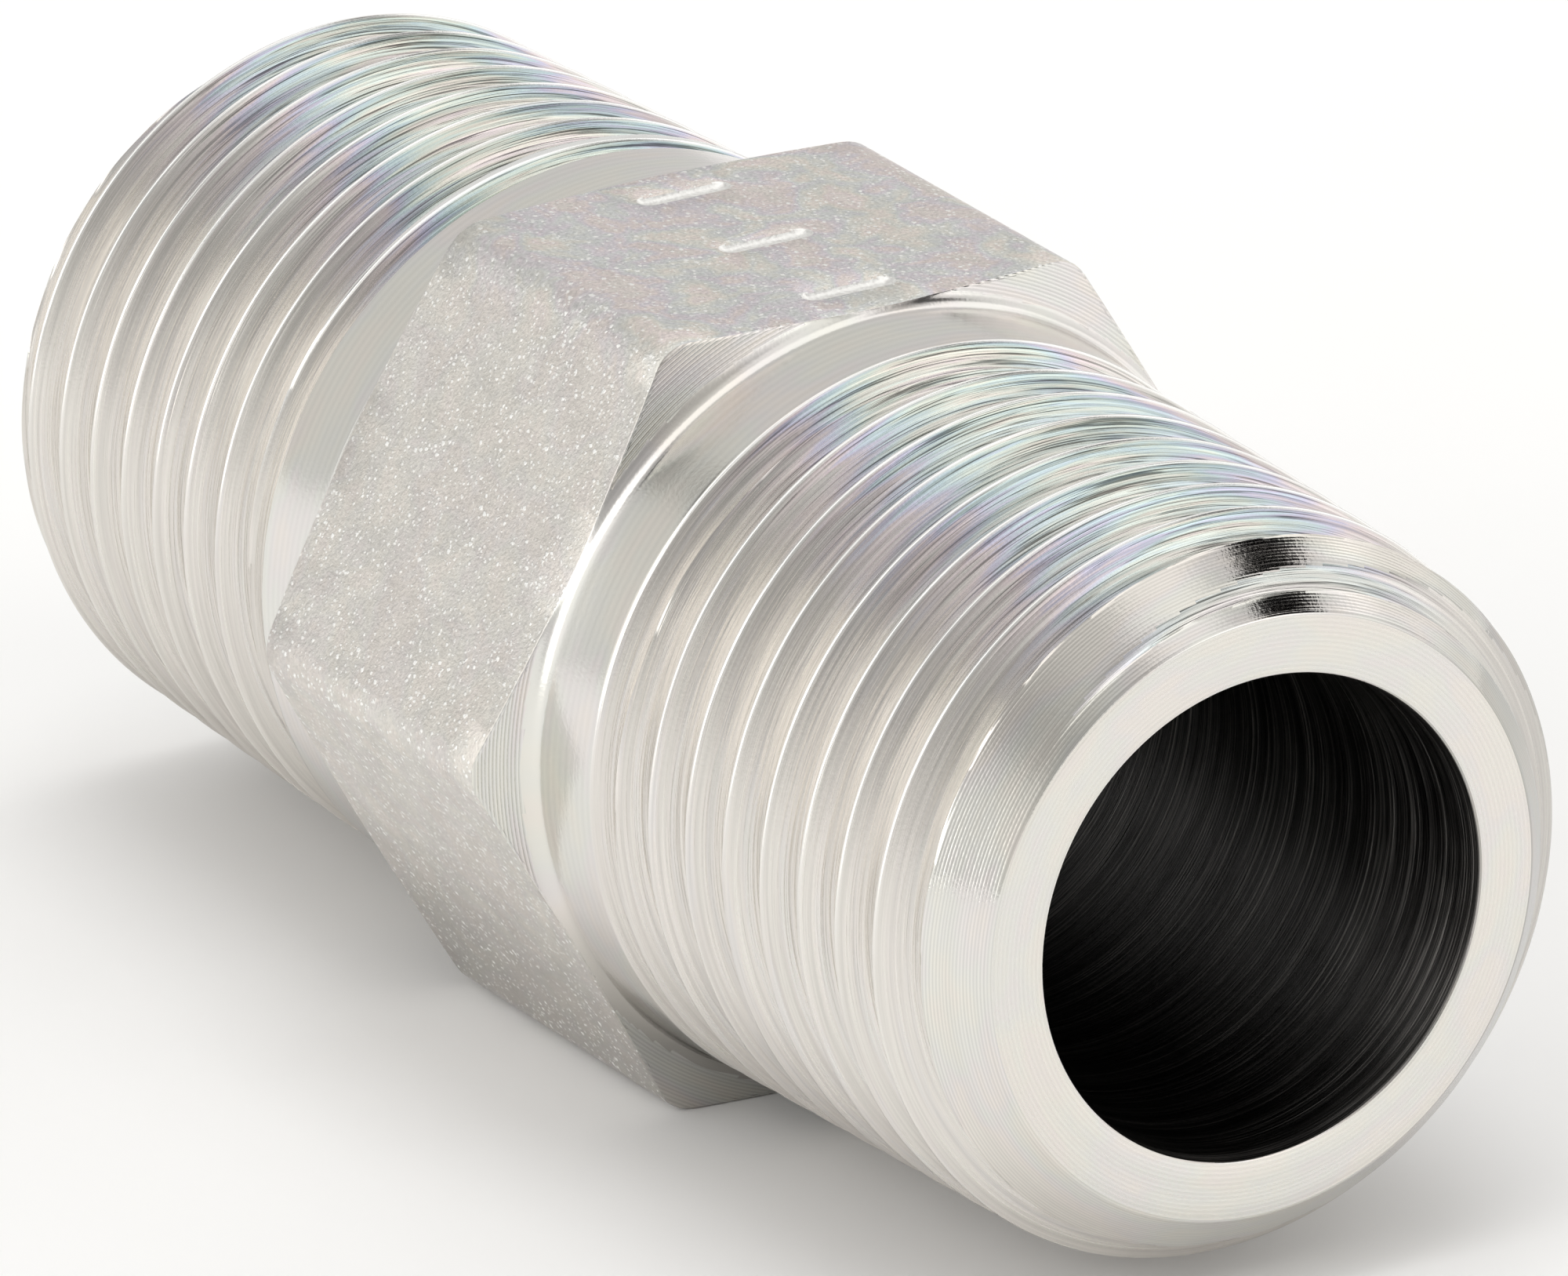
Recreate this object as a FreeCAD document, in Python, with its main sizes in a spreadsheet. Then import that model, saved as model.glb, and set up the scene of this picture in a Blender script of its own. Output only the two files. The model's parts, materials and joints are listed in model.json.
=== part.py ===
import FreeCAD, Part
import math
import os

import Sketcher

# Hex nipple, 1/2-14 NPT by 1/2-14 NPT, turned from one length of hexagon bar.
# The pipe axis is X, with its middle at the origin.  Two flats of the hexagon face +Z and -Z.
# An angle round the axis is measured from +Y towards +Z.

document = FreeCAD.newDocument("hex_nipple")

# ---------------------------------------------------------------- driving dimensions

DIMENSIONS = [
    # the bar and its turned shape (millimetres and degrees)
    ("overall_length", 50.4),
    ("across_flats", 22.225),
    ("corner_round", 1.2),
    ("corner_length", 10.9),
    ("corner_reach", 12.645),
    ("corner_chamfer_angle", 15.0),
    ("corner_crown", 150.0),
    ("neck_fillet", 0.6),
    ("bore_diameter", 13.6),
    ("mouth_diameter", 16.94),
    ("mouth_chamfer_angle", 45.0),
    # the tapered pipe thread
    ("pitch", 1.8143),
    ("crest_diameter", 20.56),
    ("taper", 0.03125),
    ("thread_depth", 1.4514),
    ("flank_angle", 30.0),
    ("root_flat", 0.06),
    ("cutter_clearance", 0.12),
    ("front_groove_start", 26.46),
    ("front_groove_height", 17.28),
    ("back_groove_start", 27.45),
    ("back_groove_height", 17.84),
    # the ring at the inner end of each thread, measured along the axis from the middle
    ("front_ring_inner", 8.6),
    ("front_ring_outer", 9.75),
    ("back_ring_inner", 8.9),
    ("back_ring_outer", 9.9),
    # the plain dashes stamped on the top flat
    ("dash_length", 2.8),
    ("dash_width", 0.62),
    ("dash_depth", 0.16),
    ("dash_pitch", 4.3),
    ("dash_count", 3),
]

sheet = document.addObject("Spreadsheet::Sheet", "Dims")
for row, (alias, value) in enumerate(DIMENSIONS, start=1):
    sheet.set(f"A{row}", alias)
    sheet.set(f"B{row}", str(value))
    sheet.setAlias(f"B{row}", alias)
document.recompute()

OUTSIDE = "Dims.across_flats * 0.65"        # radius clear of the hexagon's corners
PAST_END = "Dims.overall_length / 2 + 0.5"  # station clear of the end faces


def value_of(expression):
    """The number that an expression over the sheet's cells gives now."""
    result = sheet.evalExpression(expression.replace("Dims.", ""))
    return float(getattr(result, "Value", result))


def crest_radius(station):
    """Expression for the thread's crest radius at a distance from the middle."""
    return f"(Dims.crest_diameter / 2 + (Dims.overall_length / 2 - ({station})) * Dims.taper)"


# ---------------------------------------------------------------- sketch helpers

def origin_feature(body, role):
    for feature in body.Origin.OriginFeatures:
        if feature.Role == role:
            return feature
    raise ValueError(role)


def new_sketch(body, name, role):
    sketch = body.newObject("Sketcher::SketchObject", name)
    sketch.AttachmentSupport = [(origin_feature(body, role), "")]
    sketch.MapMode = "FlatFace"
    return sketch


def hold(sketch, kind, index, end, expression):
    """Dimension one end of a line from the sketch's origin, and bind it to the sheet."""
    distance = value_of(expression)
    number = sketch.addConstraint(Sketcher.Constraint(kind, -1, 1, index, end, distance))
    sketch.setExpression(f"Constraints[{number}]", expression)


def add_outline(sketch, corners):
    """A closed polygon whose corners are pairs of expressions."""
    points = [FreeCAD.Vector(value_of(across), value_of(up), 0) for across, up in corners]
    first = sketch.GeometryCount
    for here, there in zip(points, points[1:] + points[:1]):
        sketch.addGeometry(Part.LineSegment(here, there), False)
    last = sketch.GeometryCount - 1
    for index in range(first, last + 1):
        following = first if index == last else index + 1
        sketch.addConstraint(Sketcher.Constraint("Coincident", index, 2, following, 1))
    for index, (across, up) in enumerate(corners, start=first):
        hold(sketch, "DistanceX", index, 1, across)
        hold(sketch, "DistanceY", index, 1, up)


def cut_check(body, feature, least):
    """A cut has to take away at least this many cubic millimetres."""
    before = feature.BaseFeature.Shape.Volume
    document.recompute()
    removed = before - feature.Shape.Volume
    print(f"{feature.Name}: {removed:.2f} mm3 removed")
    if removed < least:
        raise RuntimeError(f"{feature.Name} removed only {removed:.3f} mm3")


# ---------------------------------------------------------------- the bar

def hexagon_bar(body):
    """A hexagon bar of the full length, with softly rounded corners."""
    sketch = new_sketch(body, "bar_section", "YZ_Plane")
    half = "Dims.across_flats / 2"
    corner = "Dims.across_flats / sqrt(3)"
    add_outline(sketch, [
        (corner, "0 * Dims.across_flats"),
        (f"{corner} / 2", half),
        (f"-{corner} / 2", half),
        (f"-{corner}", "0 * Dims.across_flats"),
        (f"-{corner} / 2", f"-{half}"),
        (f"{corner} / 2", f"-{half}"),
    ])
    bar = body.newObject("PartDesign::Pad", "bar")
    bar.Profile = sketch
    bar.Midplane = True
    bar.setExpression("Length", "Dims.overall_length")
    document.recompute()
    long_edges = [
        f"Edge{number}" for number, edge in enumerate(bar.Shape.Edges, start=1)
        if abs(edge.Length - value_of("Dims.overall_length")) < 1e-6]
    rounded = body.newObject("PartDesign::Fillet", "bar_corners")
    rounded.Base = (bar, long_edges)
    rounded.setExpression("Radius", "Dims.corner_round")
    document.recompute()


def turned_ends(body):
    """The bar outside one end's turned contour is cut away, and the other end mirrors it."""
    sketch = new_sketch(body, "turned_contour", "XZ_Plane")
    edge = "Dims.corner_length / 2"
    slope = "tan(Dims.corner_chamfer_angle)"
    # the chamfer that takes off the corners, with a very slight crown, then the fillet
    # that it runs into, and the tapered blank
    neck = crest_radius(edge)
    centre_up = f"({neck} + Dims.neck_fillet)"
    start_up = f"({centre_up} - Dims.neck_fillet * sin(Dims.corner_chamfer_angle))"
    start_across = f"({edge} + (Dims.corner_reach - {start_up}) * {slope})"
    end_across = f"({start_across} + Dims.neck_fillet * cos(Dims.corner_chamfer_angle))"
    crown_across = f"({start_across} - Dims.corner_crown * cos(Dims.corner_chamfer_angle))"
    crown_up = f"({start_up} - Dims.corner_crown * sin(Dims.corner_chamfer_angle))"
    rise = f"({OUTSIDE} - {crown_up})"
    chamfer_top = f"{crown_across} + sqrt(Dims.corner_crown ^ 2 - {rise} ^ 2)"
    corners = [
        (chamfer_top, OUTSIDE),
        (start_across, start_up),
        (end_across, neck),
        (PAST_END, crest_radius(PAST_END)),
        (PAST_END, OUTSIDE),
    ]
    points = [FreeCAD.Vector(value_of(across), value_of(up), 0) for across, up in corners]
    turn = math.radians(value_of("Dims.corner_chamfer_angle"))
    radius = value_of("Dims.neck_fillet")
    crown = value_of("Dims.corner_crown")
    turn_at_top = math.asin(value_of(rise) / crown)
    up = FreeCAD.Vector(0, 0, 1)
    crown_centre = FreeCAD.Vector(value_of(crown_across), value_of(crown_up), 0)
    fillet_centre = FreeCAD.Vector(points[2].x, points[2].y + radius, 0)
    sketch.addGeometry(Part.ArcOfCircle(
        Part.Circle(crown_centre, up, crown), turn, turn_at_top), False)
    sketch.addGeometry(Part.ArcOfCircle(
        Part.Circle(fillet_centre, up, radius), math.pi + turn, 1.5 * math.pi), False)
    for here, there in ((2, 3), (3, 4), (4, 0)):
        sketch.addGeometry(Part.LineSegment(points[here], points[there]), False)
    joins = [(0, 1, 1, 1), (1, 2, 2, 1), (2, 2, 3, 1), (3, 2, 4, 1), (4, 2, 0, 2)]
    for join in joins:
        sketch.addConstraint(Sketcher.Constraint("Coincident", *join))
    ends = [(0, 2), (1, 1), (1, 2), (3, 1), (4, 1)]
    for (across, height), (index, end) in zip(corners, ends):
        hold(sketch, "DistanceX", index, end, across)
        hold(sketch, "DistanceY", index, end, height)
    for arc, size, name in ((0, crown, "corner_crown"), (1, radius, "neck_fillet")):
        number = sketch.addConstraint(Sketcher.Constraint("Radius", arc, size))
        sketch.setExpression(f"Constraints[{number}]", f"Dims.{name}")

    turned = body.newObject("PartDesign::Groove", "turned_front")
    turned.Profile = sketch
    turned.ReferenceAxis = (origin_feature(body, "X_Axis"), [""])
    turned.Angle = 360
    cut_check(body, turned, 500)
    mirrored = body.newObject("PartDesign::Mirrored", "turned_back")
    mirrored.Originals = [turned]
    mirrored.MirrorPlane = (origin_feature(body, "YZ_Plane"), [""])
    body.Tip = mirrored
    document.recompute()


def mouth_chamfers(body):
    """A cone is turned on the outer edge of both end faces."""
    sketch = new_sketch(body, "mouth_sections", "XZ_Plane")
    slope = "tan(Dims.mouth_chamfer_angle)"
    low = f"(Dims.mouth_diameter / 2 - 0.5 * {slope})"
    high = "(Dims.crest_diameter / 2 + 1)"
    start = f"({PAST_END} - ({high} - {low}) / {slope})"
    for side in (1, -1):
        add_outline(sketch, [
            (f"{side} * ({PAST_END})", low),
            (f"{side} * ({PAST_END})", high),
            (f"{side} * {start}", high),
        ])
    mouths = body.newObject("PartDesign::Groove", "mouth_chamfers")
    mouths.Profile = sketch
    mouths.ReferenceAxis = (origin_feature(body, "X_Axis"), [""])
    mouths.Angle = 360
    cut_check(body, mouths, 50)


def through_bore(body):
    sketch = new_sketch(body, "bore_section", "YZ_Plane")
    radius = value_of("Dims.bore_diameter / 2")
    sketch.addGeometry(
        Part.Circle(FreeCAD.Vector(), FreeCAD.Vector(0, 0, 1), radius), False)
    sketch.addConstraint(Sketcher.Constraint("Coincident", 0, 3, -1, 1))
    number = sketch.addConstraint(Sketcher.Constraint("Radius", 0, radius))
    sketch.setExpression(f"Constraints[{number}]", "Dims.bore_diameter / 2")
    bore = body.newObject("PartDesign::Pocket", "bore")
    bore.Profile = sketch
    bore.Type = "ThroughAll"
    bore.Midplane = True
    cut_check(body, bore, 5000)


# ---------------------------------------------------------------- the threads

def thread_groove(body, end, side):
    """One right-hand tapered groove, wound from outside the mouth in to its ring."""
    start = f"Dims.{end}_groove_start"
    root = f"({crest_radius(start)} - Dims.thread_depth)"
    cutter_height = "(Dims.thread_depth + Dims.cutter_clearance)"
    root_half = "Dims.root_flat / 2"
    top_half = f"({root_half} + {cutter_height} * tan(Dims.flank_angle))"
    top = f"({root} + {cutter_height})"
    sketch = new_sketch(body, f"{end}_groove_section", "XZ_Plane")
    add_outline(sketch, [
        (f"{side} * {start} - {root_half}", root),
        (f"{side} * {start} + {root_half}", root),
        (f"{side} * {start} + {top_half}", top),
        (f"{side} * {start} - {top_half}", top),
    ])
    groove = body.newObject("PartDesign::SubtractiveHelix", f"{end}_thread")
    groove.Profile = sketch
    groove.ReferenceAxis = (origin_feature(body, "X_Axis"), [""])
    groove.Mode = 0
    groove.setExpression("Pitch", "Dims.pitch")
    groove.setExpression("Height", f"Dims.{end}_groove_height")
    groove.setExpression("Angle", "atan(Dims.taper)")
    groove.LeftHanded = False
    groove.Reversed = side > 0
    cut_check(body, groove, 500)


def run_out_rings(body):
    """The V-shaped ring in which each thread's groove ends."""
    sketch = new_sketch(body, "ring_sections", "XZ_Plane")
    for end, side in (("front", 1), ("back", -1)):
        inner = f"Dims.{end}_ring_inner"
        outer = f"Dims.{end}_ring_outer"
        middle = f"(({inner} + {outer}) / 2)"
        depth = f"(({outer} - {inner}) / 2 / tan(Dims.flank_angle))"
        surface = crest_radius(middle)
        spread = "(Dims.cutter_clearance * tan(Dims.flank_angle))"
        add_outline(sketch, [
            (f"{side} * {middle}", f"{surface} - {depth}"),
            (f"{side} * ({outer} + {spread})", f"{surface} + Dims.cutter_clearance"),
            (f"{side} * ({inner} - {spread})", f"{surface} + Dims.cutter_clearance"),
        ])
    rings = body.newObject("PartDesign::Groove", "run_out_rings")
    rings.Profile = sketch
    rings.ReferenceAxis = (origin_feature(body, "X_Axis"), [""])
    rings.Angle = 360
    cut_check(body, rings, 5)


# ---------------------------------------------------------------- the stamped dashes

def stamped_dashes(body):
    """Three plain round-ended dashes in a row along the top flat, each lying across it."""
    sketch = new_sketch(body, "dash_outline", "XY_Plane")
    sketch.AttachmentOffset = FreeCAD.Placement(
        FreeCAD.Vector(0, 0, value_of("Dims.across_flats / 2")), FreeCAD.Rotation())
    sketch.setExpression("AttachmentOffset.Base.z", "Dims.across_flats / 2")
    straight = "(Dims.dash_length - Dims.dash_width) / 2"
    half_width = "Dims.dash_width / 2"
    first = "Dims.dash_pitch * (1 - Dims.dash_count) / 2"
    x = value_of(first)
    y = value_of(straight)
    half = value_of(half_width)
    up = FreeCAD.Vector(0, 0, 1)
    far_end = Part.Circle(FreeCAD.Vector(x, y, 0), up, half)
    near_end = Part.Circle(FreeCAD.Vector(x, -y, 0), up, half)
    sketch.addGeometry(Part.LineSegment(
        FreeCAD.Vector(x + half, -y, 0), FreeCAD.Vector(x + half, y, 0)), False)
    sketch.addGeometry(Part.ArcOfCircle(far_end, 0, math.pi), False)
    sketch.addGeometry(Part.LineSegment(
        FreeCAD.Vector(x - half, y, 0), FreeCAD.Vector(x - half, -y, 0)), False)
    sketch.addGeometry(Part.ArcOfCircle(near_end, math.pi, 2 * math.pi), False)
    for index in range(4):
        sketch.addConstraint(Sketcher.Constraint("Tangent", index, 2, (index + 1) % 4, 1))
    sketch.addConstraint(Sketcher.Constraint("Equal", 1, 3))
    for arc, across in ((1, straight), (3, f"-({straight})")):
        hold(sketch, "DistanceX", arc, 3, first)
        hold(sketch, "DistanceY", arc, 3, across)
    number = sketch.addConstraint(Sketcher.Constraint("Radius", 1, half))
    sketch.setExpression(f"Constraints[{number}]", half_width)
    dash = body.newObject("PartDesign::Pocket", "dash")
    dash.Profile = sketch
    dash.setExpression("Length", "Dims.dash_depth")
    cut_check(body, dash, 0.05)
    row = body.newObject("PartDesign::LinearPattern", "dash_row")
    row.Originals = [dash]
    row.Direction = (origin_feature(body, "X_Axis"), [""])
    row.setExpression("Length", "Dims.dash_pitch * (Dims.dash_count - 1)")
    row.setExpression("Occurrences", "Dims.dash_count")
    body.Tip = row
    document.recompute()


# ---------------------------------------------------------------- the piece

nipple = document.addObject("PartDesign::Body", "nipple_body")
nipple.Label = "nipple_body"
nipple.Placement = FreeCAD.Placement()
hexagon_bar(nipple)
turned_ends(nipple)
through_bore(nipple)
thread_groove(nipple, "front", 1)
thread_groove(nipple, "back", -1)
mouth_chamfers(nipple)
run_out_rings(nipple)
stamped_dashes(nipple)
document.recompute()

for item in document.Objects:
    if "Invalid" in item.State or "Error" in item.State:
        raise RuntimeError(f"{item.Name} did not compute: {item.State}")

os.makedirs("parts", exist_ok=True)
for piece in [nipple]:
    shape = piece.Shape
    if shape.isNull() or not shape.isValid():
        raise RuntimeError(f"{piece.Label} has no valid shape")
    box = shape.optimalBoundingBox()
    print(f"{piece.Label}: {len(shape.Solids)} solid, {shape.Volume:.1f} mm3, "
          f"{box.XLength:.2f} x {box.YLength:.2f} x {box.ZLength:.2f} mm")
    shape.exportStep(f"parts/{piece.Label}.step")
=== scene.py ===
import json
import math
from collections import namedtuple

import bmesh
import bpy
import numpy as np
from mathutils import Matrix, Vector

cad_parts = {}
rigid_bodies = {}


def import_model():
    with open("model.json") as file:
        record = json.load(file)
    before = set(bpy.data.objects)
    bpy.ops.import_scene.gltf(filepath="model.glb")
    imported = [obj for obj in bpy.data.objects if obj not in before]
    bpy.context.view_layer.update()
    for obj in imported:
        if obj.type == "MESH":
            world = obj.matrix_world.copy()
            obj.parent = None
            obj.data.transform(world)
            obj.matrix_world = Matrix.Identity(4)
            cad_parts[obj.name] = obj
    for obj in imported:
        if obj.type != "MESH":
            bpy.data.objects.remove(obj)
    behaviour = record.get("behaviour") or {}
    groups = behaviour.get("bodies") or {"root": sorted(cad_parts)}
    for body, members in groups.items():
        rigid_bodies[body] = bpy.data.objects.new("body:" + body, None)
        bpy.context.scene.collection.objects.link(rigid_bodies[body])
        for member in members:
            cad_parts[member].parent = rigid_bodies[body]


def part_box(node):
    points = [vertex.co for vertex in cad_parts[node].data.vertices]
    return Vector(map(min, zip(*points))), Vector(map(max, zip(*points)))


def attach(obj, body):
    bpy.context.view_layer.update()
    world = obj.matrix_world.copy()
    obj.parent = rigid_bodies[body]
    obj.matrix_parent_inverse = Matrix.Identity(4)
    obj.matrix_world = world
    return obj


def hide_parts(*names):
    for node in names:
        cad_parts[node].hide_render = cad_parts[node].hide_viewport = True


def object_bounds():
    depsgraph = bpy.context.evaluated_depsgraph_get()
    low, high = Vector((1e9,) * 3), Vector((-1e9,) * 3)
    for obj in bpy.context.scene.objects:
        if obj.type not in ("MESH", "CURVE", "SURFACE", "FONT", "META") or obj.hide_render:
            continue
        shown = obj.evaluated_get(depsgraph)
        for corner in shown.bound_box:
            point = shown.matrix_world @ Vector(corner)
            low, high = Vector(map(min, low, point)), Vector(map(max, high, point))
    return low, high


# A zinc-plated hex nipple with a taper pipe thread at both ends.
# The pipe axis is X.  Angles round it are measured from +Y towards +Z.

for leftover in list(bpy.data.objects):
    bpy.data.objects.remove(leftover)
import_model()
cad_low, cad_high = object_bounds()

MM = 0.001
NODE = "nipple_body"
BODY = "root"

# ------------------------------------------------------------------ sizes, in millimetres

body_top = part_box(NODE)[1]
HALF_LENGTH = body_top.x / MM
HALF_FLATS = body_top.z / MM
BORE_RADIUS = 6.8
CORNER_ROUND = 1.2
CORNER_STATION = 5.45       # where the corners' edges end
CORNER_REACH = 12.645
CORNER_TURN = math.radians(15)
NECK_FILLET = 0.6
MOUTH_RADIUS = 8.47
CREST_RADIUS = 10.28        # at the end faces
TAPER = 0.03125
PITCH = 1.8143
THREAD_DEPTH = 1.4514
ROOT_HALF = 0.03
FLANK = math.tan(math.radians(30))
EDGE_SOFT = 0.07            # how much a turned edge is broken
CORNER_SOFT = 0.11
NO_CUT = 1e3                # stands for a radius where nothing is cut

# x of the groove at 90 degrees, and stations of the run-out ring's two edges, at each end
ENDS = {
    1: {"start": 26.46, "ring": (8.6, 9.75)},
    -1: {"start": -27.45, "ring": (8.9, 9.9)},
}
RUN_OUT_TURN = 40 / 360     # share of a turn over which the groove comes up to its ring

DASHES = 3
DASH_PITCH = 4.3
DASH_LENGTH = 2.8
DASH_HALF_WIDTH = 0.31
DASH_PROFILE = [            # half width, and height above the flat
    (0.42, 0.08), (0.36, 0.0), (0.32, -0.04), (0.26, -0.09), (0.17, -0.135), (0.06, -0.155)]

# ------------------------------------------------------------------ spacing of the mesh

NECK_LINE = 8.4             # stations where the rows change their spacing
RUN_OUT_LINE = 10.9
MOUTH_LINE = 23.22
CUTS_FROM = NECK_LINE - 0.4
NECK_ROWS = 4
RUN_OUT_STEP = 0.065
MOUTH_STEP = 0.05
FLAT_ROWS = (-0.75, -0.45, -0.15, 0.15, 0.45, 0.75)     # shares of the way to the flats' edges
CORNER_SPREAD = 4.5         # degrees to each side of a corner where the columns are close
CORNER_COLUMNS = 10
FLAT_COLUMNS = 30
EDGE_ROWS = (-0.035, 0.03)  # rows that guard the hexagon's edge, from it
SHOULDER_ROWS = 10
FILLET_ROWS = 5
FILLET_JOIN = math.radians(50)      # turn of the fillet where its rows become straight
GROOVE_ROWS = (0.05, 0.32, 0.6)     # distances from the groove's middle
CREST_ROWS = (-1.0, -0.1, 0.4)      # distances from the groove's edge, in widths of its softening
MOST_TURNS = 20             # more turns than the thread has
FACE_RINGS = (8.0, 7.4)
FACE_RIM = 0.03             # width of the face's outermost ring
BORE_RIM = [(0.0, 0.08), (0.03, 0.03), (0.09, 0.0)]     # depth, and width past the bore's radius
BORE_START = 0.8            # depth of the first of the bore's even rings
BORE_RINGS = 30
DASH_STEPS = 12             # parts of each round end
SHARP_FROM = math.radians(50)
MERGE = 3e-7                # metres
COLLAPSE = 2e-7


# ------------------------------------------------------------------ the outer shape

def crest(station):
    return CREST_RADIUS + (HALF_LENGTH - station) * TAPER


NECK_START = crest(CORNER_STATION)
FILLET_UP = NECK_START + NECK_FILLET
FILLET_BEGIN = FILLET_UP - NECK_FILLET * math.sin(CORNER_TURN)
CONE_END = CORNER_STATION + (CORNER_REACH - FILLET_BEGIN) * math.tan(CORNER_TURN)
FILLET_END = CONE_END + NECK_FILLET * math.cos(CORNER_TURN)


def smooth_min(a, b, soft):
    near = np.clip(soft - np.abs(a - b), 0, None) / soft
    return np.minimum(a, b) - near * near * soft / 4


def hexagon(angle):
    """Radius of the hexagon with its rounded corners."""
    from_flat = (np.degrees(angle) - 90 + 30) % 60 - 30
    flat = HALF_FLATS / np.cos(np.radians(from_flat))
    from_corner = np.radians(30 - np.abs(from_flat))
    centre = (HALF_FLATS - CORNER_ROUND) / math.cos(math.radians(30))
    inside = CORNER_ROUND ** 2 - (centre * np.sin(from_corner)) ** 2
    round_part = centre * np.cos(from_corner) + np.sqrt(np.clip(inside, 0, None))
    lateral = HALF_FLATS * np.tan(np.radians(np.abs(from_flat)))
    tangent = (HALF_FLATS - CORNER_ROUND) * math.tan(math.radians(30))
    return np.where(lateral < tangent, flat, round_part)


def contour(station):
    """Radius of the turned blank at a distance from the middle."""
    cone = CORNER_REACH - (station - CORNER_STATION) / math.tan(CORNER_TURN)
    inside = NECK_FILLET ** 2 - (station - FILLET_END) ** 2
    fillet = FILLET_UP - np.sqrt(np.clip(inside, 0, None))
    result = np.where(station < CONE_END, cone, fillet)
    return np.where(station > FILLET_END, crest(station), result)


def mouth_cone(station):
    return MOUTH_RADIUS + HALF_LENGTH - station


def groove_centre(angle, side):
    return ENDS[side]["start"] + PITCH * (angle - math.pi / 2) / (2 * math.pi)


def run_out_ring(side):
    """Station of the run-out ring's middle, and its depth."""
    inner, outer = ENDS[side]["ring"]
    return (inner + outer) / 2, (outer - inner) / 2 / FLANK


def ring_radius(station, side):
    middle, depth = run_out_ring(side)
    return crest(middle) - depth + np.abs(station - middle) / FLANK


def groove_radius(x, angle, side):
    """Radius of the winding groove, which comes up to the ring at its inner end."""
    centre = groove_centre(angle, side)
    nearest = centre + np.round((x - centre) / PITCH) * PITCH
    station = nearest * side
    middle, ring_depth = run_out_ring(side)
    way = np.clip((station - middle) / (PITCH * RUN_OUT_TURN), 0, 1)
    way = way * way * (3 - 2 * way)
    depth = ring_depth + (THREAD_DEPTH - ring_depth) * way
    away = np.clip(np.abs(x - nearest) - ROOT_HALF, 0, None)
    radius = crest(station) - depth + away / FLANK
    return np.where(station < middle - 1e-9, NO_CUT, radius)


def thread_cuts(x, angle):
    """Radii of the winding groove and of its ring, for one end and then for the other."""
    for side in ENDS:
        here = x * side > CUTS_FROM
        groove = np.where(here, groove_radius(x, angle, side), NO_CUT)
        ring = np.where(here, ring_radius(np.abs(x), side), NO_CUT)
        yield groove, ring


def outside(x, angle):
    """Radius of the finished piece."""
    station = np.abs(x)
    blank = smooth_min(hexagon(angle), contour(station), CORNER_SOFT)
    blank = smooth_min(blank, mouth_cone(station), EDGE_SOFT)
    cut = np.full_like(x, NO_CUT)
    for groove, ring in thread_cuts(x, angle):
        cut = np.minimum(cut, smooth_min(groove, ring, EDGE_SOFT))
    return smooth_min(blank, cut, EDGE_SOFT)


# ------------------------------------------------------------------ rows and columns of the mesh

def column_angles():
    """Angles of the columns, closer together at the hexagon's corners, with the first repeated."""
    corner = np.linspace(-CORNER_SPREAD, CORNER_SPREAD, CORNER_COLUMNS + 1)[:-1]
    between = np.linspace(CORNER_SPREAD, 60 - CORNER_SPREAD, FLAT_COLUMNS + 1)[:-1]
    sixth = np.concatenate([corner, between])
    degrees = np.concatenate([sixth + 60 * k for k in range(6)])
    return np.radians(np.append(degrees, degrees[0] + 360))


def flat_edge(angle):
    """Station where the hexagon meets the turned cone or fillet."""
    radius = hexagon(angle)
    on_cone = CORNER_STATION + (CORNER_REACH - radius) * math.tan(CORNER_TURN)
    inside = NECK_FILLET ** 2 - (FILLET_UP - radius) ** 2
    on_fillet = FILLET_END - np.sqrt(np.clip(inside, 0, None))
    return np.where(radius > FILLET_BEGIN, on_cone, on_fillet)


def shoulder_rows(angle):
    """Stations from the hexagon's edge down the cone and the fillet to the neck."""
    radius = hexagon(angle)
    cone = np.clip(radius - FILLET_BEGIN, 0, None) / math.cos(CORNER_TURN)
    begin = np.arcsin(np.clip((FILLET_UP - radius) / NECK_FILLET, math.sin(CORNER_TURN), 1))
    arc = NECK_FILLET * (FILLET_JOIN - begin)
    rows = []
    for share in np.linspace(0, 1, SHOULDER_ROWS + 1):
        along = share * (cone + arc)
        on_cone = flat_edge(angle) + along * math.sin(CORNER_TURN)
        turned = begin + np.clip(along - cone, 0, None) / NECK_FILLET
        on_arc = FILLET_END - NECK_FILLET * np.cos(turned)
        rows.append(np.where(along < cone, on_cone, on_arc))
    for turned in np.linspace(FILLET_JOIN, math.pi / 2, FILLET_ROWS + 1)[1:]:
        rows.append(np.full_like(angle, FILLET_END - NECK_FILLET * math.cos(turned)))
    edge = rows[0]
    return [edge + EDGE_ROWS[0], edge, edge + EDGE_ROWS[1]] + rows[1:]


def winding_rows(angle, side):
    """Rows that follow the thread, held between the run-out and the mouth."""
    edge = ROOT_HALF + THREAD_DEPTH * FLANK
    soft = EDGE_SOFT * FLANK
    half = list(GROOVE_ROWS) + [edge + share * soft for share in CREST_ROWS]
    offsets = sorted([-h for h in half] + half)
    centre = groove_centre(angle, side)
    lowest, highest = sorted((side * RUN_OUT_LINE, side * MOUTH_LINE))
    rows = []
    for turn in range(-MOST_TURNS, MOST_TURNS + 1):
        for offset in offsets:
            row = centre + turn * PITCH + offset
            if row.max() > lowest and row.min() < highest:
                rows.append(np.clip(row, lowest, highest))
    return rows


def straight(angle, stations):
    return [np.full_like(angle, s) for s in stations]


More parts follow.
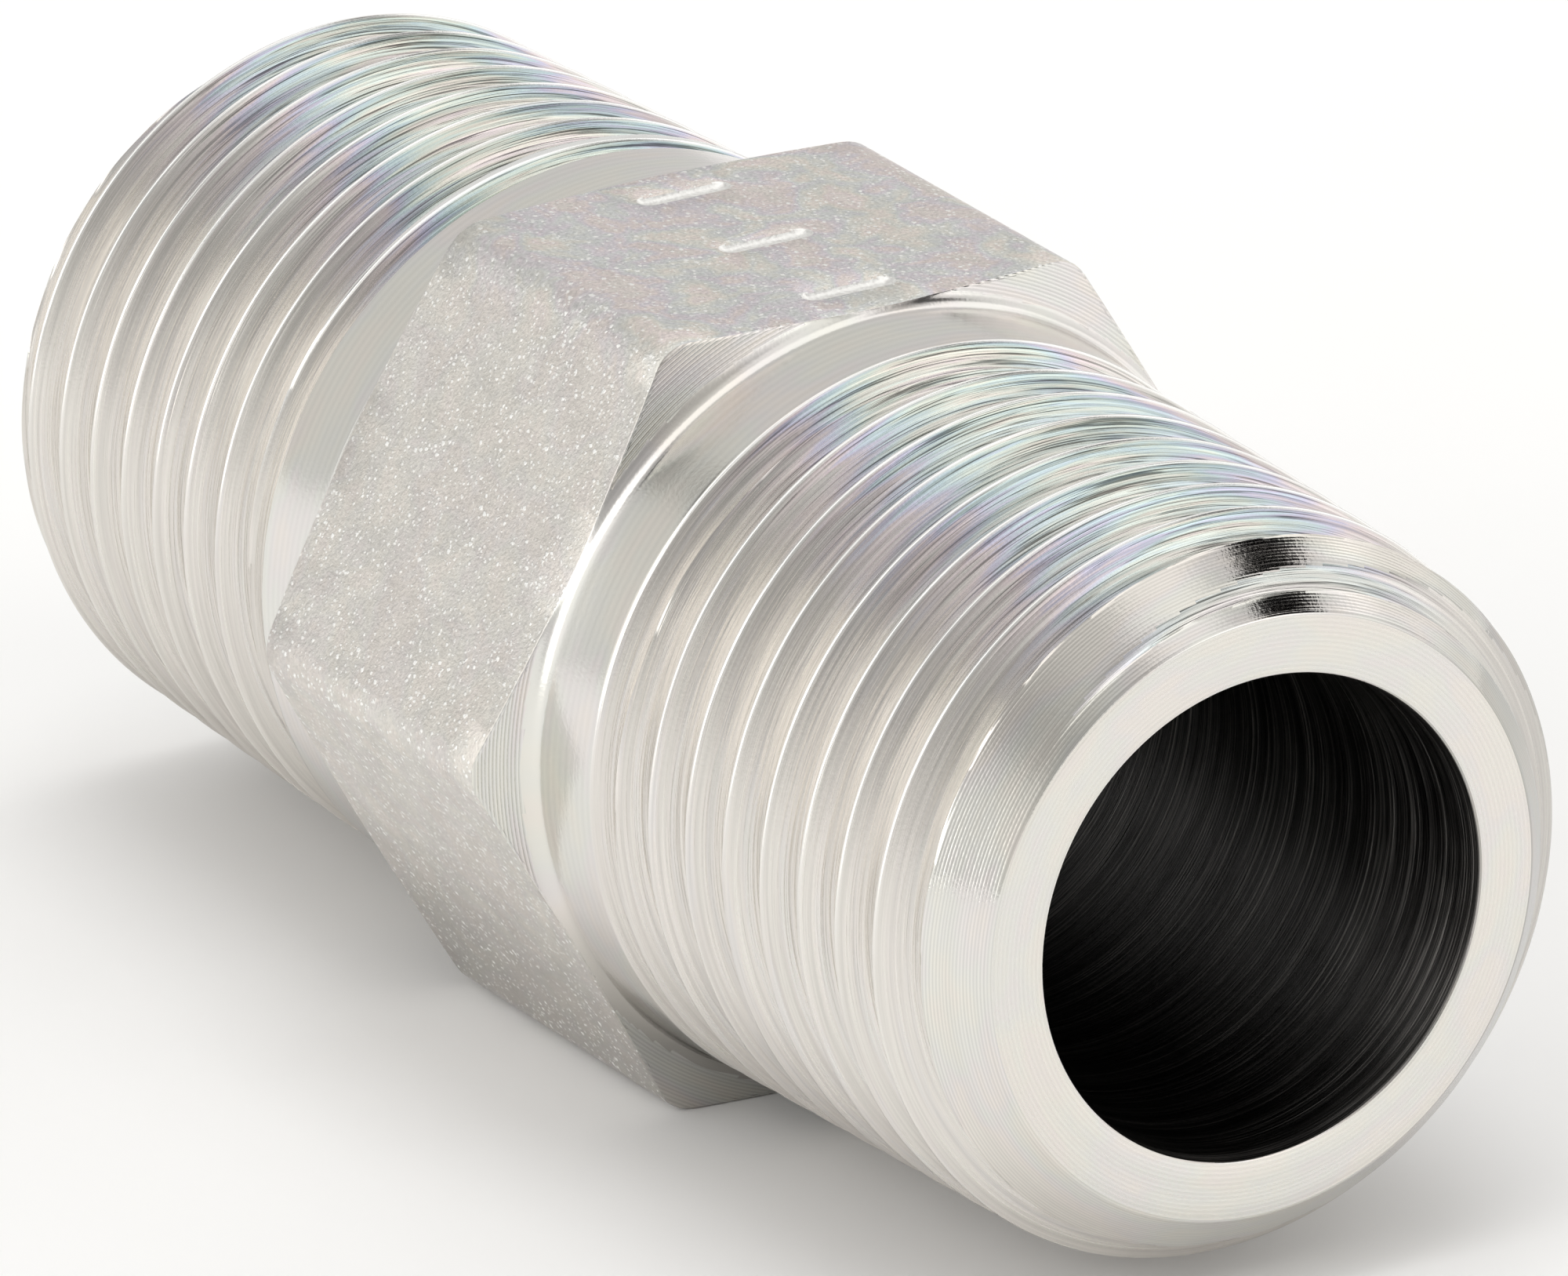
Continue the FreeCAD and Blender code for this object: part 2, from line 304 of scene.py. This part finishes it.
def outer_rows(angle):
    """All rows of the outer surface from the back face to the front face."""
    neck = list(np.linspace(FILLET_END, NECK_LINE, NECK_ROWS + 1)[1:])
    run_out = list(np.arange(NECK_LINE + 0.05, RUN_OUT_LINE, RUN_OUT_STEP)) + [RUN_OUT_LINE]
    mouth = [MOUTH_LINE, MOUTH_LINE + 0.06]
    mouth += list(np.arange(MOUTH_LINE + 0.1, HALF_LENGTH - 0.06, MOUTH_STEP))
    mouth += [HALF_LENGTH - 0.03]
    halves = {}
    for side in ENDS:
        rows = [side * row for row in shoulder_rows(angle) + straight(angle, neck + run_out)]
        winding = winding_rows(angle, side)
        rows += winding if side > 0 else winding[::-1]
        rows += [side * row for row in straight(angle, mouth)]
        halves[side] = rows
    edge = halves[1][0]
    return halves[-1][::-1] + [edge * share for share in FLAT_ROWS] + halves[1]


def inner_rings():
    """Station and radius of each ring from the front mouth through the bore to the back mouth."""
    end = HALF_LENGTH
    face = [(end, MOUTH_RADIUS - FACE_RIM)] + [(end, radius) for radius in FACE_RINGS]
    face += [(end - depth, BORE_RADIUS + past) for depth, past in BORE_RIM]
    stations = np.linspace(end - BORE_START, BORE_START - end, BORE_RINGS)
    bore = [(station, BORE_RADIUS) for station in stations]
    return face + bore + [(-station, radius) for station, radius in reversed(face)]


def build_skin():
    angle = column_angles()
    x = np.array(outer_rows(angle))
    radius = outside(x, np.broadcast_to(angle, x.shape))
    rings = np.array(inner_rings())
    x = np.vstack([x, np.repeat(rings[:, :1], angle.size, axis=1)])
    radius = np.vstack([radius, np.repeat(rings[:, 1:], angle.size, axis=1)])
    points = np.stack([x, radius * np.cos(angle), radius * np.sin(angle)], axis=-1) * MM

    here = np.arange(x.size).reshape(x.shape)
    after = np.roll(here, -1, axis=0)
    quads = np.stack([here[:, :-1], here[:, 1:], after[:, 1:], after[:, :-1]], axis=-1)
    mesh = bpy.data.meshes.new("nipple_skin")
    mesh.from_pydata(points.reshape(-1, 3).tolist(), [], quads.reshape(-1, 4).tolist())
    work = bmesh.new()
    work.from_mesh(mesh)
    bmesh.ops.remove_doubles(work, verts=work.verts, dist=MERGE)
    bmesh.ops.dissolve_degenerate(work, edges=work.edges, dist=COLLAPSE)
    if work.calc_volume(signed=True) < 0:
        bmesh.ops.reverse_faces(work, faces=work.faces)
    work.to_mesh(mesh)
    work.free()
    skin = bpy.data.objects.new("nipple_skin", mesh)
    bpy.context.scene.collection.objects.link(skin)
    return skin


def dash_cutter(station):
    """A round-ended dash with a dished floor, across the top flat."""
    work = bmesh.new()
    straight_half = DASH_LENGTH / 2 - DASH_HALF_WIDTH
    loops = []
    for half, height in DASH_PROFILE:
        loop = []
        for way, turn in ((1, 0.0), (-1, math.pi)):
            for step in range(DASH_STEPS + 1):
                a = turn + math.pi * step / DASH_STEPS
                loop.append(work.verts.new((
                    (station + half * math.cos(a)) * MM,
                    (way * straight_half + half * math.sin(a)) * MM,
                    (HALF_FLATS + height) * MM)))
        loops.append(loop)
    for upper, lower in zip(loops, loops[1:]):
        for k in range(len(upper)):
            n = (k + 1) % len(upper)
            work.faces.new((upper[k], upper[n], lower[n], lower[k]))
    work.faces.new(loops[0])
    work.faces.new(loops[-1])
    bmesh.ops.recalc_face_normals(work, faces=work.faces)
    mesh = bpy.data.meshes.new("dash")
    work.to_mesh(mesh)
    work.free()
    cutter = bpy.data.objects.new("dash", mesh)
    bpy.context.scene.collection.objects.link(cutter)
    return cutter


def apply_modifiers(piece):
    graph = bpy.context.evaluated_depsgraph_get()
    done = bpy.data.meshes.new_from_object(
        piece.evaluated_get(graph), preserve_all_data_layers=True, depsgraph=graph)
    old = piece.data
    piece.modifiers.clear()
    piece.data = done
    bpy.data.meshes.remove(old)


def stamp_dashes(skin):
    for k in range(DASHES):
        cutter = dash_cutter(DASH_PITCH * (k - (DASHES - 1) / 2))
        cut = skin.modifiers.new("dash", "BOOLEAN")
        cut.operation = "DIFFERENCE"
        cut.solver = "EXACT"
        cut.object = cutter
        apply_modifiers(skin)
        bpy.data.objects.remove(cutter)


def even_normals(skin):
    """Smooth shading in which the wide faces keep their own direction."""
    mesh = skin.data
    mesh.polygons.foreach_set("use_smooth", np.ones(len(mesh.polygons), bool))
    mesh.set_sharp_from_angle(angle=SHARP_FROM)
    weigh = skin.modifiers.new("weigh", "WEIGHTED_NORMAL")
    weigh.mode = "FACE_AREA"
    weigh.keep_sharp = True
    apply_modifiers(skin)


# ------------------------------------------------------------------ zones of the surface

ZONES = ["flats", "shoulder", "neck", "thread", "mouth", "face", "bore", "dash"]
FILLET_SLACK = 0.06         # how far past a zone's border the middle of a face may be
ZONE_SLACK = 0.05
END_SLACK = 0.012
DASH_SLACK = 0.1
DASH_SUNK = 0.015           # depth under the flat from which a face belongs to a dash


def zone_of_faces(mesh):
    """The index in ZONES of each face, from its middle; a later line wins over an earlier one."""
    n = len(mesh.polygons)
    middle = np.zeros(n * 3)
    mesh.polygons.foreach_get("center", middle)
    x, y, z = (middle.reshape(-1, 3) / MM).T
    r = np.hypot(y, z)
    angle = np.arctan2(z, y)
    station = np.abs(x)
    cut = np.full(n, NO_CUT)
    for groove, ring in thread_cuts(x, angle):
        cut = np.minimum(cut, np.minimum(groove, ring))
    ring_start = np.where(x > 0, ENDS[1]["ring"][0], ENDS[-1]["ring"][0])
    on_cone = (mouth_cone(station) < crest(station)) & (mouth_cone(station) < cut)
    sunk = (station < CORNER_STATION) & (z > 0) & (z < HALF_FLATS - DASH_SUNK)
    sunk &= (np.abs(y) < DASH_LENGTH / 2 + DASH_SLACK) & (r > BORE_RADIUS + 1)

    zone = np.full(n, ZONES.index("neck"))
    zone[(station < FILLET_END) & (r > FILLET_BEGIN - FILLET_SLACK)] = ZONES.index("shoulder")
    zone[station < flat_edge(angle)] = ZONES.index("flats")
    zone[station > NECK_LINE] = ZONES.index("thread")
    zone[(station <= ring_start) & (station > FILLET_END)] = ZONES.index("neck")
    zone[on_cone & (station > MOUTH_LINE - ZONE_SLACK)] = ZONES.index("mouth")
    zone[station > HALF_LENGTH - END_SLACK] = ZONES.index("face")
    zone[r < BORE_RADIUS + ZONE_SLACK] = ZONES.index("bore")
    zone[sunk] = ZONES.index("dash")
    return zone


# ------------------------------------------------------------------ node trees

Axes = namedtuple("Axes", "x radius cosine sine place")


class Nodes:
    """A short way to write a node tree."""

    def __init__(self, tree):
        self.tree = tree
        tree.nodes.clear()

    def link(self, a, b):
        self.tree.links.new(a, b)

    def put(self, socket, value):
        if isinstance(value, bpy.types.NodeSocket):
            self.link(value, socket)
        else:
            socket.default_value = value

    def new(self, kind, *values):
        node = self.tree.nodes.new(kind)
        for socket, value in zip(node.inputs, values):
            self.put(socket, value)
        return node

    def math(self, operation, *values):
        node = self.new("ShaderNodeMath", *values)
        node.operation = operation
        return node.outputs[0]

    def times(self, first, *others):
        for other in others:
            first = self.math("MULTIPLY", first, other)
        return first

    def plus(self, first, *others):
        for other in others:
            first = self.math("ADD", first, other)
        return first

    def dot(self, a, b):
        node = self.new("ShaderNodeVectorMath", a, b)
        node.operation = "DOT_PRODUCT"
        return node.outputs["Value"]

    def span(self, value, low, high, to_low, to_high, smooth=False):
        node = self.new("ShaderNodeMapRange", value, low, high, to_low, to_high)
        if smooth:
            node.interpolation_type = "SMOOTHSTEP"
        return node.outputs[0]


class Material(Nodes):
    """A procedural material whose lengths are in millimetres, apart from the height of bumps."""

    def __init__(self, name):
        self.material = bpy.data.materials.new(name)
        self.material.use_nodes = True
        super().__init__(self.material.node_tree)
        self.shader = self.new("ShaderNodeBsdfPrincipled")
        self.new("ShaderNodeOutputMaterial", self.shader.outputs[0])

    def place(self):
        scale = self.new("ShaderNodeVectorMath", self.new("ShaderNodeTexCoord").outputs["Object"])
        scale.operation = "SCALE"
        scale.inputs["Scale"].default_value = 1 / MM
        return scale.outputs[0]

    def axes(self):
        """Sockets: x, the radius, its shares towards +Y and +Z, and the place."""
        place = self.place()
        x, y, z = self.new("ShaderNodeSeparateXYZ", place).outputs
        radius = self.math("SQRT", self.plus(self.times(y, y), self.times(z, z)))
        return Axes(
            x, radius, self.math("DIVIDE", y, radius), self.math("DIVIDE", z, radius), place)

    def vector(self, *values):
        return self.new("ShaderNodeCombineXYZ", *values).outputs[0]

    def noise(self, vector, scale, detail=2.0, rough=0.5, distort=0.0):
        node = self.new("ShaderNodeTexNoise")
        node.noise_dimensions = "3D"
        self.link(vector, node.inputs["Vector"])
        node.inputs["Scale"].default_value = scale
        node.inputs["Detail"].default_value = detail
        node.inputs["Roughness"].default_value = rough
        node.inputs["Distortion"].default_value = distort
        return node.outputs[0]

    def streaks(self, at, along, fine, reach, detail=2.0, rough=0.55, lean=(0.0, 0.0)):
        """Noise drawn out round the axis: fine along it, and changing slowly round it.

        lean shifts the noise sideways as x grows, so that no two turns are alike."""
        around = []
        for share, shift in zip((at.cosine, at.sine), lean):
            side = self.times(share, reach)
            around.append(self.plus(side, self.times(at.x, shift)) if shift else side)
        return self.noise(self.vector(self.times(along, fine), *around), 1.0, detail, rough)

    def points(self, vector, scale, size):
        """Scattered points of unlike size, at most one in each cell."""
        wobble = self.times(self.noise(vector, scale * 2.6, 1.0), 0.7 / scale)
        bent = self.new("ShaderNodeVectorMath", vector, self.vector(wobble, 0.0, 0.0))
        bent.operation = "ADD"
        node = self.new("ShaderNodeTexVoronoi")
        node.feature = "F1"
        self.link(bent.outputs[0], node.inputs["Vector"])
        node.inputs["Scale"].default_value = scale
        split = self.new("ShaderNodeSeparateColor", node.outputs["Color"])
        reach = self.span(split.outputs[0], 0.1, 1.0, 0.02, size)
        share = self.math("DIVIDE", node.outputs["Distance"], reach)
        return self.span(share, 0.7, 1.15, 1.0, 0.0)

    def ramp(self, value, stops):
        node = self.new("ShaderNodeValToRGB", value)
        elements = node.color_ramp.elements
        while len(elements) > 1:
            elements.remove(elements[-1])
        for k, (place, colour) in enumerate(stops):
            element = elements[0] if k == 0 else elements.new(place)
            element.position = place
            element.color = (*colour, 1.0)
        return node.outputs[0]

    def mix(self, share, a, b, how="MIX"):
        node = self.new("ShaderNodeMix", share)
        node.data_type = "RGBA"
        node.blend_type = how
        for socket, value in ((node.inputs[6], a), (node.inputs[7], b)):
            if isinstance(value, tuple):
                value = (*value, 1.0)
            self.put(socket, value)
        return node.outputs[2]

    def shaded(self, colour, shade):
        return self.mix(1.0, colour, self.vector(shade, shade, shade), "MULTIPLY")

    def bump(self, height, distance, strength, normal=None):
        node = self.new("ShaderNodeBump")
        node.inputs["Strength"].default_value = strength
        node.inputs["Distance"].default_value = distance
        self.link(height, node.inputs["Height"])
        if normal is not None:
            self.link(normal, node.inputs["Normal"])
        return node.outputs[0]

    def finish(self, colour, rough, normal=None, metal=1.0):
        self.put(self.shader.inputs["Base Color"], colour)
        self.put(self.shader.inputs["Roughness"], rough)
        self.shader.inputs["Metallic"].default_value = metal
        if normal is not None:
            self.link(normal, self.shader.inputs["Normal"])
        return self.material


# ------------------------------------------------------------------ colours

ZINC = (0.79, 0.76, 0.71)
TOP_ZINC = (0.80, 0.745, 0.71)
THREAD_ZINC = (0.78, 0.775, 0.765)
# near white of the glints painted on the flats
GLINT_WHITE = (0.99, 0.99, 0.97)
# near white of the painted highlight on the thread's crests
CREST_HIGHLIGHT = (0.99, 0.985, 0.97)
DASH_DARK = (0.84, 0.83, 0.81)
DASH_BRIGHT = (0.97, 0.97, 0.95)
# the bore's steel, painted darker for the shade inside it
BORE_STEEL_AND_SHADE = (0.11, 0.105, 0.10)
STUDIO_WHITE = (1.0, 0.99, 0.97)
# faint colours of the passivated plating
TINTS = [
    (0.00, (0.78, 0.76, 0.73)), (0.34, (0.79, 0.76, 0.71)), (0.41, (0.82, 0.68, 0.70)),
    (0.46, (0.60, 0.58, 0.80)), (0.51, (0.52, 0.70, 0.76)), (0.56, (0.68, 0.79, 0.70)),
    (0.61, (0.82, 0.77, 0.66)), (0.67, (0.82, 0.67, 0.70)), (0.74, (0.79, 0.76, 0.71)),
    (1.00, (0.77, 0.76, 0.74))]
GRAIN = 9.0                 # cells per millimetre of the plating's own grain

# Turned surfaces.  cross: the weights of x and radius that cross the tool lines; pitch: their
# spacing; depth: their height in metres; rough: the roughness at its least and most; tint: the
# share of TINTS; lines: the contrast of the tool lines; dull and under: painted shade, the
# brightness that is left towards +Y and on the underside.
TURNED = {
    "shoulder": dict(cross=(0.0, 1.0), pitch=0.10, depth=0.00002, rough=(0.17, 0.25),
                     tint=0.15, lines=0.16, painted_shade_under=0.70),
    "neck": dict(cross=(0.6, 0.6), pitch=0.16, depth=0.0000004, rough=(0.15, 0.21),
                 tint=0.13, lines=0.04, painted_shade_under=0.5),
    "mouth": dict(cross=(0.7, -0.7), pitch=0.092, depth=0.000007, rough=(0.07, 0.12),
                  tint=0.12, lines=0.13, painted_shade_plus_y=0.62),
    "face": dict(cross=(0.0, 1.0), pitch=0.13, depth=0.00001, rough=(0.22, 0.32),
                 tint=0.10, lines=0.05),
}


# ------------------------------------------------------------------ finishes

def flats_finish():
    """Drawn bar, etched before plating: a matt grain, with bright points painted on as glints."""
    g = Material("zinc_flats")
    at = g.axes()
    grain = g.noise(at.place, GRAIN, 3.0, 0.6)
    blotch = g.noise(at.place, 0.9, 4.0, 0.6)
    top = g.span(at.sine, 0.80, 0.90, 0.25, 1.0)
    tint = g.ramp(g.noise(at.place, 0.45, 3.0, 0.6, 0.3), TINTS)
    colour = g.mix(g.times(top, 0.30), g.mix(top, ZINC, TOP_ZINC), tint)
    darkest = g.span(top, 0.25, 1.0, 0.84, 0.74)
    colour = g.shaded(colour, g.times(
        g.span(grain, 0.32, 0.66, darkest, 1.0),
        g.span(blotch, 0.35, 0.65, 0.93, 1.03),
        # painted shade: the flats darker on the underside
        g.span(at.sine, -0.80, -0.40, 0.72, 1.0),
        # painted light: the top flat up to 13% lighter
        g.span(top, 0.25, 1.0, 1.0, 1.13)))
    # painted glints: scattered points painted near white
    wide = g.points(at.place, 3.9, 0.30)
    small = g.points(at.place, 6.4, 0.38)
    painted_glints = g.math("MAXIMUM", wide, g.times(small, 0.75))
    colour = g.mix(painted_glints, colour, GLINT_WHITE)
    normal = g.bump(grain, 0.00008, 0.45)
    normal = g.bump(painted_glints, 0.00003, 0.5, normal)
    return g.finish(colour, g.span(grain, 0.3, 0.7, 0.36, 0.50), normal)


def turned_finish(name, cross, pitch, depth, rough, tint, lines, painted_shade_plus_y=1.0, painted_shade_under=1.0):
    """Fine tool lines round the axis; the comment over TURNED says what each value is."""
    g = Material("zinc_" + name)
    at = g.axes()
    over = g.plus(g.times(g.math("ABSOLUTE", at.x), cross[0]), g.times(at.radius, cross[1]))
    drift = g.streaks(at, over, 1.2, 0.5)
    phase = g.plus(g.times(over, 2 * math.pi / pitch), g.times(drift, 5.0))
    wave = g.math("MULTIPLY_ADD", g.math("SINE", phase), 0.5, 0.5)
    loose = g.streaks(at, over, 1.6 / pitch, 0.5, 3.0, 0.6)
    tool = g.plus(g.times(wave, 0.5), g.times(loose, 0.5))
    hue = g.streaks(at, over, 0.55, 1.6, 3.0)
    colour = g.mix(tint, ZINC, g.ramp(hue, TINTS))
    colour = g.shaded(colour, g.span(tool, 0.2, 0.8, 1 - lines, 1.0 + lines * 0.4))
    # painted shade: darker towards +Y and on the underside
    colour = g.shaded(colour, g.times(
        g.span(at.cosine, 0.3, 0.9, 1.0, painted_shade_plus_y), g.span(at.sine, -0.8, -0.35, painted_shade_under, 1.0)))
    normal = g.bump(tool, depth, 0.6)
    normal = g.bump(g.noise(at.place, GRAIN), 0.00001, 0.3, normal)
    return g.finish(colour, g.span(loose, 0.3, 0.7, *rough), normal)


def thread_finish():
    """Tool lines at a constant depth, tints and torn lines on top, and a painted highlight on the
    crests.
    """
    g = Material("zinc_thread")
    at = g.axes()
    cone = g.math("MULTIPLY_ADD", g.math("ABSOLUTE", at.x), -TAPER, crest(0))
    deep = g.math("SUBTRACT", cone, at.radius)
    tool = g.streaks(at, deep, 11.0, 1.0, 3.0, 0.6, lean=(0.35, 0.0))
    slow = g.streaks(at, deep, 3.2, 1.7, 4.0, 0.6, lean=(0.0, 0.12))
    torn = g.streaks(at, deep, 20.0, 2.0, 3.0, 0.65, lean=(0.9, 0.0))

    upper = g.span(at.sine, 0.70, 0.90, 0.12, 1.0)
    order = g.plus(
        g.span(at.sine, 0.86, 1.0, 0.37, 0.55),
        g.times(deep, 0.07),
        g.math("MULTIPLY_ADD", slow, 0.55, -0.275))
    share = g.times(upper, g.span(deep, 0.15, 1.0, 1.0, 0.35), 0.76)
    colour = g.mix(share, g.mix(upper, ZINC, THREAD_ZINC), g.ramp(order, TINTS))

    darkest = g.span(upper, 0.12, 1.0, 0.86, 0.66)
    lightest = g.span(upper, 0.12, 1.0, 1.05, 1.20)
    colour = g.shaded(colour, g.span(tool, 0.35, 0.65, darkest, lightest))
    # painted shade: the thread darker towards +Y
    colour = g.shaded(colour, g.span(at.cosine, 0.6, 1.0, 1.0, 0.76))
    scored = g.times(g.span(at.sine, 0.70, 0.97, 0.05, 1.0), g.span(torn, 0.46, 0.40, 0.0, 1.0))
    colour = g.shaded(colour, g.span(scored, 0.0, 1.0, 1.0, 0.25))
    # painted highlight: the crests' tips painted near white, most on the upper side
    crest_highlight = g.times(g.span(deep, 0.03, 0.09, 0.9, 0.0), g.span(at.sine, 0.0, 0.7, 0.15, 1.0))
    colour = g.mix(crest_highlight, colour, CREST_HIGHLIGHT)

    normal = g.bump(tool, 0.00004, 0.6)
    normal = g.bump(g.noise(at.place, GRAIN), 0.00001, 0.3, normal)
    return g.finish(colour, g.span(tool, 0.3, 0.7, 0.20, 0.30), normal)


def bore_finish():
    """Bare steel painted darker for the shade inside the bore, with fine brighter drill lines and
    painted light towards +Y.
    """
    g = Material("bore_steel_and_shade")
    at = g.axes()
    tool = g.streaks(at, at.x, 13.0, 0.35, 4.0, 0.7)
    broad = g.streaks(at, at.x, 0.8, 1.6, 3.0)
    colour = g.shaded(BORE_STEEL_AND_SHADE, g.times(
        g.span(tool, 0.5, 0.72, 0.25, 2.4),
        g.span(broad, 0.3, 0.7, 0.5, 1.3),
        # painted light and shade: the bore lighter towards +Y, darker away from it
        g.span(at.cosine, 0.2, 1.0, 0.8, 2.2)))
    return g.finish(colour, g.span(tool, 0.3, 0.7, 0.24, 0.5), g.bump(tool, 0.00006, 0.8))


def dash_finish():
    g = Material("zinc_dash")
    grain = g.noise(g.place(), GRAIN)
    colour = g.mix(g.span(grain, 0.35, 0.65, 0.0, 1.0), DASH_DARK, DASH_BRIGHT)
    return g.finish(colour, g.span(grain, 0.3, 0.7, 0.3, 0.45), g.bump(grain, 0.00003, 0.4))


def dress(skin):
    finishes = {name: turned_finish(name, **values) for name, values in TURNED.items()}
    finishes["flats"] = flats_finish()
    finishes["thread"] = thread_finish()
    finishes["bore"] = bore_finish()
    finishes["dash"] = dash_finish()
    for zone in ZONES:
        skin.data.materials.append(finishes[zone])
    skin.data.polygons.foreach_set("material_index", zone_of_faces(skin.data).astype(np.int32))


skin = build_skin()
stamp_dashes(skin)
even_normals(skin)
dress(skin)
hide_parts(NODE)
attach(skin, BODY)

# ------------------------------------------------------------------ floor, light and camera

FLOOR_HALF = 3.0            # metres
FLOOR_GAP = 0.00002
FLOOR_GRAIN = 0.04          # cells per millimetre

# Soft patches of the studio round the object: azimuth from +X towards +Y, elevation, the angles
# from its middle where a patch is whole and where it ends, all in degrees, and how much light is
# there against the rest.
PATCHES = [
    (60, 46, 8.5, 10, 0.0), (77, 53, 5, 9, 0.25), (95, 57, 3, 9, 0.4),
    (-17, 34, 10, 32, 0.70), (-14, 20, 5, 16, 0.80), (-3, 10, 3, 16, 0.75),
    (-139, 44, 3, 8, 0.08), (-152, 39, 3, 9, 0.5), (-116, 50, 6, 13, 0.6),
    (-95, 14, 22, 48, 1.65), (18, 60, 5, 16, 1.45), (75, 12, 12, 30, 1.4),
    (-19, 54, 5, 12, 1.15), (92, 15, 10, 20, 0.72), (-42, 38, 5, 12, 0.84),
    (28, 31, 10, 24, 1.50), (34, 4, 18, 30, 1.5)]
# A bright band over the object from side to side.
BAND_AZIMUTH = 10           # degrees: the way across it
BAND_WHOLE = 0.20           # sines of the angles from its middle where it is whole and ends
BAND_GONE = 0.36
BAND_LIGHT = 1.8
WORLD_STRENGTH = 0.71

LAMP_HEIGHT = 0.75          # metres
LAMP_SIZE = 0.4
LAMP_WATTS = 1.0

CAMERA_AZIMUTH = math.radians(58.836)       # from -Y towards +X
CAMERA_ELEVATION = math.radians(21.488)
CAMERA_ROLL = math.radians(-0.337)
CAMERA_DISTANCE = 694.11 * MM
CAMERA_ASIDE = 0.427 * MM
CAMERA_ABOVE = -0.410 * MM
FOCAL_LENGTH = 585.53       # millimetres
SENSOR_WIDTH = 36


def make_floor():
    mesh = bpy.data.meshes.new("floor")
    half, level = FLOOR_HALF, cad_low.z - FLOOR_GAP
    corners = [(-half, -half), (half, -half), (half, half), (-half, half)]
    mesh.from_pydata([(a, b, level) for a, b in corners], [], [(0, 1, 2, 3)])
    floor = bpy.data.objects.new("floor", mesh)
    bpy.context.scene.collection.objects.link(floor)
    g = Material("pale_floor")
    shade = g.span(g.noise(g.place(), FLOOR_GRAIN, 3.0), 0.3, 0.7, 0.93, 0.95)
    mesh.materials.append(g.finish(g.vector(shade, shade, shade), 0.8, metal=0.0))


def heading(azimuth, elevation=0):
    """A direction from its angles in degrees."""
    a, e = math.radians(azimuth), math.radians(elevation)
    return math.cos(a) * math.cos(e), math.sin(a) * math.cos(e), math.sin(e)


def make_world():
    world = bpy.data.worlds.new("studio")
    bpy.context.scene.world = world
    world.use_nodes = True
    g = Nodes(world.node_tree)
    direction = g.new("ShaderNodeTexCoord").outputs["Generated"]
    lights = []
    for azimuth, elevation, whole, gone, light in PATCHES:
        near = g.dot(direction, heading(azimuth, elevation))
        edge, inside = math.cos(math.radians(gone)), math.cos(math.radians(whole))
        lights.append(g.span(near, edge, inside, 1.0, light, smooth=True))
    away = g.math("ABSOLUTE", g.dot(direction, heading(BAND_AZIMUTH)))
    lights.append(g.span(away, BAND_WHOLE, BAND_GONE, BAND_LIGHT, 1.0, smooth=True))
    strength = g.times(*lights, WORLD_STRENGTH)
    glow = g.new("ShaderNodeBackground", (*STUDIO_WHITE, 1.0), strength)
    g.new("ShaderNodeOutputWorld", glow.outputs[0])


def make_lamp():
    """A soft light straight above, which doesn't show in reflections."""
    light = bpy.data.lights.new("overhead", "AREA")
    light.shape = "SQUARE"
    light.size = LAMP_SIZE
    light.energy = LAMP_WATTS
    lamp = bpy.data.objects.new("overhead", light)
    lamp.location.z = LAMP_HEIGHT
    lamp.visible_glossy = False
    bpy.context.scene.collection.objects.link(lamp)


def make_camera():
    azimuth, elevation, roll = CAMERA_AZIMUTH, CAMERA_ELEVATION, CAMERA_ROLL
    back = Vector((math.sin(azimuth) * math.cos(elevation),
                   -math.cos(azimuth) * math.cos(elevation), math.sin(elevation)))
    right = Vector((math.cos(azimuth), math.sin(azimuth), 0))
    up = back.cross(right)
    across = math.cos(roll) * right + math.sin(roll) * up
    upward = math.cos(roll) * up - math.sin(roll) * right
    lens = bpy.data.cameras.new("camera")
    lens.sensor_fit = "HORIZONTAL"
    lens.sensor_width = SENSOR_WIDTH
    lens.lens = FOCAL_LENGTH
    lens.clip_start, lens.clip_end = 0.05, 10
    camera = bpy.data.objects.new("camera", lens)
    turn = Matrix((across, upward, back)).transposed().to_4x4()
    camera.matrix_world = Matrix.Translation(
        CAMERA_DISTANCE * back + CAMERA_ASIDE * across + CAMERA_ABOVE * upward) @ turn
    bpy.context.scene.collection.objects.link(camera)
    bpy.context.scene.camera = camera


make_floor()
make_world()
make_lamp()
make_camera()
bpy.context.scene.view_settings.view_transform = "Standard"
